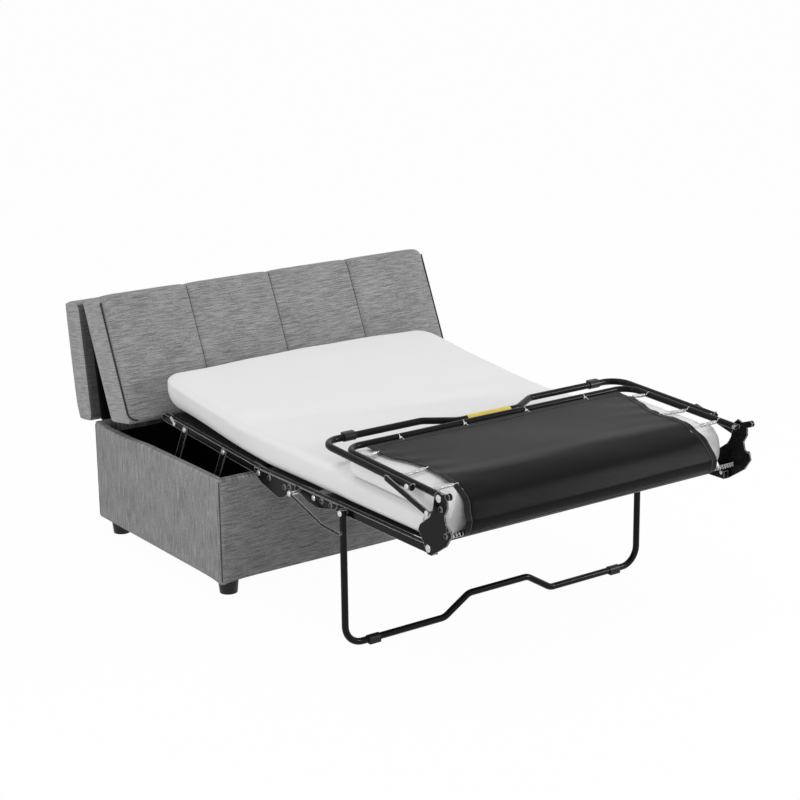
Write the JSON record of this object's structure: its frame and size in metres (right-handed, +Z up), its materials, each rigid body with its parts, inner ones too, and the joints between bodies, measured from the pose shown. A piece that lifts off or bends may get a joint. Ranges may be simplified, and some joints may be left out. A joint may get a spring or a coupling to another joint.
{
  "type": "storage sofa bed",
  "caption": "Upholstered storage sofa bed with a hinged two-panel lid as backrest and a pull-out sprung bed frame whose foot section folds over the mattress.",
  "frame": {"origin": "bottom centre of the whole object's bounds, on the floor, with the bed pulled out and its foot section folded over", "axes": "+X across the bed to the right seen from the foot end, +Y towards the backrest, +Z up"},
  "size_m": [1.2, 1.8794, 0.7697],
  "materials": {
    "box_fabric": "linen-look weave, mid grey",
    "lid_fabric": "linen-look weave, mid grey",
    "lining_cloth": "thin black lining",
    "board": "raw board, covered",
    "black_plastic": "moulded, matt black",
    "yellow_band": "plain sleeve",
    "deck_cloth": "satin woven, charcoal",
    "mattress_cloth": "knitted cover, off-white",
    "zinc_steel": "bright zinc",
    "black_steel": "gloss black powder coat"
  },
  "bodies": {
    "box": {"box_panels_side": "board", "box_panel_rear": "board", "box_panel_front": "board", "box_floor": "board", "box_cover": "box_fabric", "box_lining": "lining_cloth", "box_feet": "black_plastic", "arm_mount_plates": "black_steel", "arm_mount_pins": "zinc_steel", "lid_low_hinge_pin_side": "zinc_steel"},
    "lid_rear": {"lid_rear_board": "board", "lid_rear_cushion": "lid_fabric", "lid_low_hinge_free_side": "zinc_steel", "lid_mid_hinge_pin_side": "zinc_steel"},
    "lid_front": {"lid_front_board": "board", "lid_front_cushion": "lid_fabric", "lid_mid_hinge_free_side": "zinc_steel"},
    "lift_arm_front": {"lift_arms_front": "black_steel"},
    "lift_arm_rear": {"lift_arms_rear": "black_steel"},
    "head_section": {"head_rails": "black_steel", "head_hinge_plates": "black_steel", "head_rivets": "zinc_steel", "head_crossbars": "black_steel", "head_deck": "deck_cloth", "mattress_head": "mattress_cloth"},
    "latch_left": {"latch_lever_left": "zinc_steel"},
    "latch_right": {"latch_lever_right": "zinc_steel"},
    "link_section": {"link_rails": "black_steel", "strap_brackets": "black_steel", "link_rivets": "zinc_steel", "link_hinge_plates": "black_steel", "link_crossbar": "black_steel", "link_deck": "deck_cloth", "mattress_knee": "mattress_cloth"},
    "body_section": {"body_rails": "black_steel", "gusset_plates": "black_steel", "body_rivets": "zinc_steel", "body_crossbars": "black_steel", "body_deck": "deck_cloth", "mattress_body": "mattress_cloth"},
    "front_leg": {"front_leg": "black_steel", "front_leg_caps": "black_plastic"},
    "leg_brace": {"leg_braces": "black_steel"},
    "fold_bracket": {"fold_brackets": "black_steel", "fold_bracket_rivets": "zinc_steel", "fold_springs": "zinc_steel", "fold_deck": "deck_cloth", "mattress_fold": "mattress_cloth"},
    "foot_section": {"foot_frame": "black_steel", "foot_leg_rivets": "zinc_steel", "foot_deck": "deck_cloth", "foot_deck_springs": "zinc_steel", "mattress_foot": "mattress_cloth"},
    "foot_leg": {"foot_leg": "black_steel", "foot_leg_caps": "black_plastic", "foot_leg_band": "yellow_band"},
    "foot_leg_link": {"foot_leg_links": "black_steel"}
  },
  "joints": [
    {"name": "bed_lift", "type": "hinge", "parent": "box", "child": "lift_arm_front", "pos_m": [0, 0.23691, 0.22116], "axis": [-1, 0, 0], "range_deg": [0, 7]},
    {"name": "bed_lift_head", "type": "hinge", "parent": "lift_arm_front", "child": "head_section", "pos_m": [0, 0.14302, 0.39775], "axis": [-1, 0, 0], "range_deg": [-7.01, 0]},
    {"name": "bed_lift_rear_arm", "type": "hinge", "parent": "box", "child": "lift_arm_rear", "pos_m": [0, 0.45892, 0.23582], "axis": [-1, 0, 0], "range_deg": [0, 7.01]},
    {"name": "bed_fold", "type": "hinge", "parent": "head_section", "child": "link_section", "pos_m": [0, -0.04998, 0.385], "axis": [1, 0, 0], "range_deg": [-85, 0], "deforming": ["mattress_knee"]},
    {"name": "body_fold", "type": "hinge", "parent": "link_section", "child": "body_section", "pos_m": [0, -0.32998, 0.385], "axis": [1, 0, 0], "range_deg": [-77.44, 0]},
    {"name": "front_leg_fold", "type": "hinge", "parent": "body_section", "child": "front_leg", "pos_m": [0, -0.47998, 0.385], "axis": [1, 0, 0], "range_deg": [-73.7, 0]},
    {"name": "leg_brace_fold", "type": "hinge", "parent": "link_section", "child": "leg_brace", "pos_m": [0, -0.24498, 0.3795], "axis": [1, 0, 0], "range_deg": [-72.86, 0]},
    {"name": "foot_fold", "type": "hinge", "parent": "body_section", "child": "fold_bracket", "pos_m": [0, -0.84498, 0.39], "axis": [1, 0, 0], "range_deg": [0, 72.7], "deforming": ["fold_deck", "mattress_fold"]},
    {"name": "foot_section_fold", "type": "hinge", "parent": "fold_bracket", "child": "foot_section", "pos_m": [0, -0.88898, 0.531], "axis": [1, 0, 0], "range_deg": [0, 103.51]},
    {"name": "foot_leg_fold", "type": "hinge", "parent": "foot_section", "child": "foot_leg", "pos_m": [0, -0.78009, 0.53595], "axis": [1, 0, 0], "range_deg": [0, 71.26]},
    {"name": "foot_leg_link_fold", "type": "hinge", "parent": "fold_bracket", "child": "foot_leg_link", "pos_m": [0, -0.87098, 0.494], "axis": [1, 0, 0], "range_deg": [0, 116.47]},
    {"name": "lid_rear_fold", "type": "hinge", "parent": "box", "child": "lid_rear", "pos_m": [0, 0.78302, 0.3562], "axis": [-1, 0, 0], "range_deg": [-10, 0]},
    {"name": "lid_front_fold", "type": "hinge", "parent": "lid_rear", "child": "lid_front", "pos_m": [0, 0.83521, 0.72755], "axis": [1, 0, 0], "range_deg": [0, 10]},
    {"name": "latch_left_turn", "type": "hinge", "parent": "head_section", "child": "latch_left", "pos_m": [0, 0.42702, 0.41651], "axis": [1, 0, 0], "range_deg": [0, 20]},
    {"name": "latch_right_turn", "type": "hinge", "parent": "head_section", "child": "latch_right", "pos_m": [0, 0.42702, 0.41651], "axis": [1, 0, 0], "range_deg": [0, 20]}
  ],
  "couplings": [
    {"joint": "bed_lift_head", "follows": "bed_lift", "ratio": -1},
    {"joint": "bed_lift_rear_arm", "follows": "bed_lift", "ratio": 1},
    {"joint": "body_fold", "follows": "bed_fold", "ratio": 0.911},
    {"joint": "front_leg_fold", "follows": "bed_fold", "ratio": 0.867},
    {"joint": "leg_brace_fold", "follows": "bed_fold", "ratio": 0.857},
    {"joint": "foot_section_fold", "follows": "foot_fold", "ratio": 1.4237},
    {"joint": "foot_leg_fold", "follows": "foot_fold", "ratio": 0.98},
    {"joint": "foot_leg_link_fold", "follows": "foot_fold", "ratio": 1.602}
  ]
}
